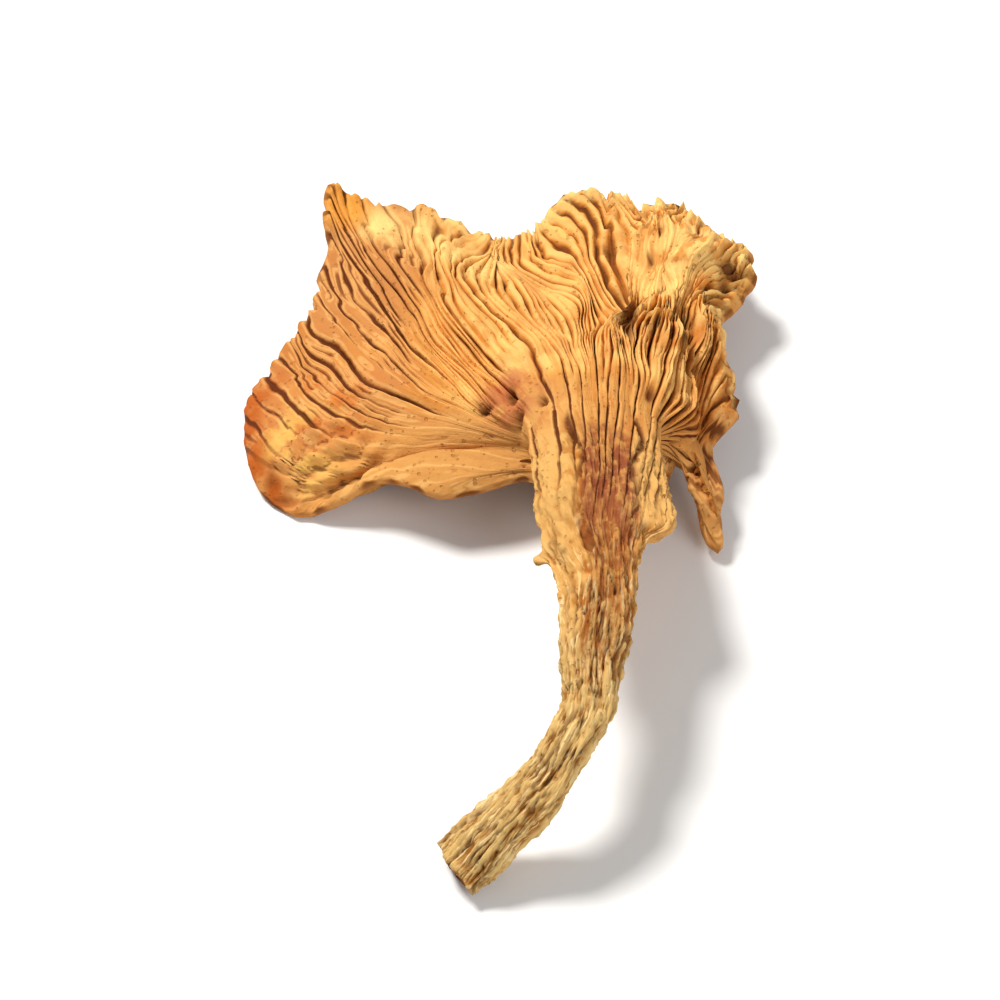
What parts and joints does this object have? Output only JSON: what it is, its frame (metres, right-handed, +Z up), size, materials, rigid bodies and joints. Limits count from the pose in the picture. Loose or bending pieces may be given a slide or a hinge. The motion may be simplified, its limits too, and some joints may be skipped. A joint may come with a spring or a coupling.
{
  "type": "dried chanterelle mushroom",
  "caption": "Dried chanterelle lying ridged side up: a thin wavy fan-shaped cap with forked ridges running onto a bent, wrinkled stem.",
  "frame": {"origin": "middle of the footprint, on the surface that the mushroom lies on", "axes": "+Z up; +Y along the mushroom from the stem's base to the far edge of the cap; the broad left lobe of the cap lies towards -X; ridged underside of the cap faces up"},
  "size_m": [0.0346, 0.06, 0.0111],
  "materials": {
    "dried_flesh": "matte, dry and fibrous, with golden tan ridge crests, dark brown valleys and an olive-grey lower stem"
  },
  "bodies": {
    "root": {"mushroom": "dried_flesh"}
  },
  "joints": []
}
